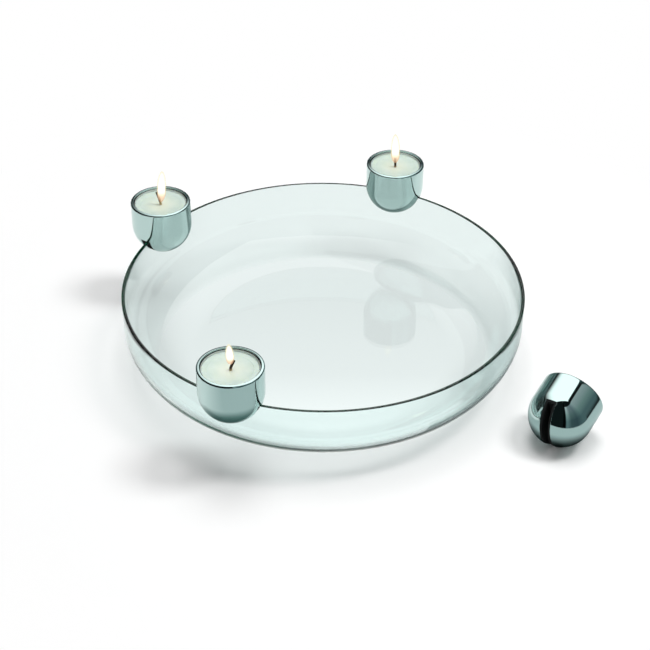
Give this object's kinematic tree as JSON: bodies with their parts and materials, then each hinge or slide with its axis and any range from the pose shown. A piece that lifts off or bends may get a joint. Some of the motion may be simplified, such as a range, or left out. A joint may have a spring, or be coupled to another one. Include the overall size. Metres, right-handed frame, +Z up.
{
  "type": "floating candle bowl",
  "caption": "Round glass dish with chromed, round-bottomed tealight holders hung astride its rim by a rubber-lined slot, and a spare holder lying beside it.",
  "frame": {"origin": "centre of the bowl's flat base, on the surface that it stands on", "axes": "+Z up along the bowl's axis; +Y away from the viewer of the picture; +X to the viewer's right, towards the holder that lies beside the bowl"},
  "size_m": [0.3328, 0.3024, 0.1084],
  "materials": {
    "clear_glass": "clear soda-lime glass with a faint green cast",
    "bright_chrome": "mirror-bright chrome plate on a cast body",
    "black_rubber": "matt black rubber",
    "tealight_foil": "pressed aluminium sheet",
    "tinned_plate": "tinned steel plate",
    "candle_wax": "paraffin wax, melted smooth round the wick",
    "wick_braid": "charred cotton braid",
    "flame": "burning vapour"
  },
  "bodies": {
    "bowl": {"bowl": "clear_glass"},
    "holder_front": {"holder_front": "bright_chrome", "slot_liner_front": "black_rubber"},
    "tealight_front": {"tealight_cup_front": "tealight_foil", "wick_sustainer_front": "tinned_plate", "wax_front": "candle_wax", "wick_front": "wick_braid", "flame_front": "flame"},
    "holder_left": {"holder_left": "bright_chrome", "slot_liner_left": "black_rubber"},
    "tealight_left": {"tealight_cup_left": "tealight_foil", "wick_sustainer_left": "tinned_plate", "wax_left": "candle_wax", "wick_left": "wick_braid", "flame_left": "flame"},
    "holder_rear": {"holder_rear": "bright_chrome", "slot_liner_rear": "black_rubber"},
    "tealight_rear": {"tealight_cup_rear": "tealight_foil", "wick_sustainer_rear": "tinned_plate", "wax_rear": "candle_wax", "wick_rear": "wick_braid", "flame_rear": "flame"},
    "holder_loose": {"holder_loose": "bright_chrome", "slot_liner_loose": "black_rubber"}
  },
  "joints": [
    {"name": "slide_round_rim_front", "type": "hinge", "parent": "bowl", "child": "holder_front", "pos_m": [0, 0, 0.058], "axis": [0, 0, 1], "range_deg": [-38, 80]},
    {"name": "lift_tealight_front", "type": "slide", "parent": "holder_front", "child": "tealight_front", "axis": [0, 0, 1], "range_m": [0, 0.04]},
    {"name": "slide_round_rim_left", "type": "hinge", "parent": "bowl", "child": "holder_left", "pos_m": [0, 0, 0.058], "axis": [0, 0, 1], "range_deg": [-31, 38]},
    {"name": "lift_tealight_left", "type": "slide", "parent": "holder_left", "child": "tealight_left", "axis": [0, 0, 1], "range_m": [0, 0.04]},
    {"name": "slide_round_rim_rear", "type": "hinge", "parent": "bowl", "child": "holder_rear", "pos_m": [0, 0, 0.058], "axis": [0, 0, 1], "range_deg": [-80, 31]},
    {"name": "lift_tealight_rear", "type": "slide", "parent": "holder_rear", "child": "tealight_rear", "axis": [0, 0, 1], "range_m": [0, 0.04]},
    {"name": "pick_up_loose_holder", "type": "slide", "parent": "bowl", "child": "holder_loose", "axis": [0, 0, 1], "range_m": [0, 0.1]}
  ]
}
